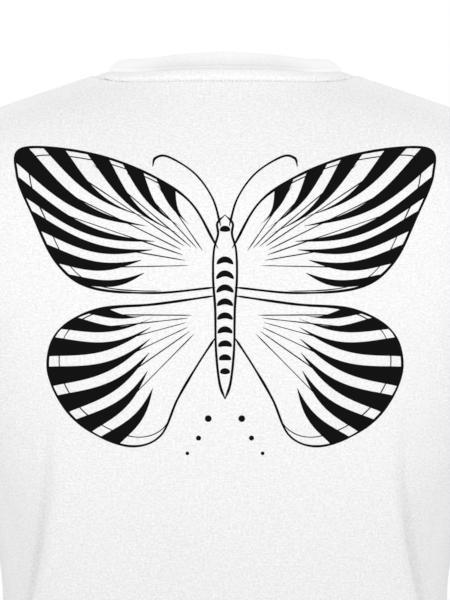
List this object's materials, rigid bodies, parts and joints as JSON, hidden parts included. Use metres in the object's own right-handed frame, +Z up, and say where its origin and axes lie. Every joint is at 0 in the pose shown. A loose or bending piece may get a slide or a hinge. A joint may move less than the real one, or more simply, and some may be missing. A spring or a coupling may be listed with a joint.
{
  "type": "t-shirt",
  "caption": "White crew-neck short-sleeved T-shirt in its worn shape, with a rib collar and a print on the back, on a plain display stand.",
  "frame": {"origin": "on the floor under the middle of the stand's foot", "axes": "+Z up, +X to the wearer's left, +Y out of the wearer's back, so the shirt's front faces -Y"},
  "size_m": [0.6606, 0.25, 0.8322],
  "materials": {
    "jersey": "matte",
    "rib_knit": "matte",
    "neck_tape": "matte",
    "thread": "satin",
    "print_ink": "matte",
    "stand_steel": "satin",
    "stand_wood": "satin"
  },
  "bodies": {
    "root": {"back_panel": "jersey", "front_panel": "jersey", "hem": "jersey", "sleeve_left": "jersey", "sleeve_hem_left": "jersey", "sleeve_right": "jersey", "sleeve_hem_right": "jersey", "collar_rib": "rib_knit", "neck_tape": "neck_tape", "stand_foot": "stand_steel", "stand_post": "stand_steel", "stand_shoulder_bar": "stand_wood"}
  },
  "joints": []
}
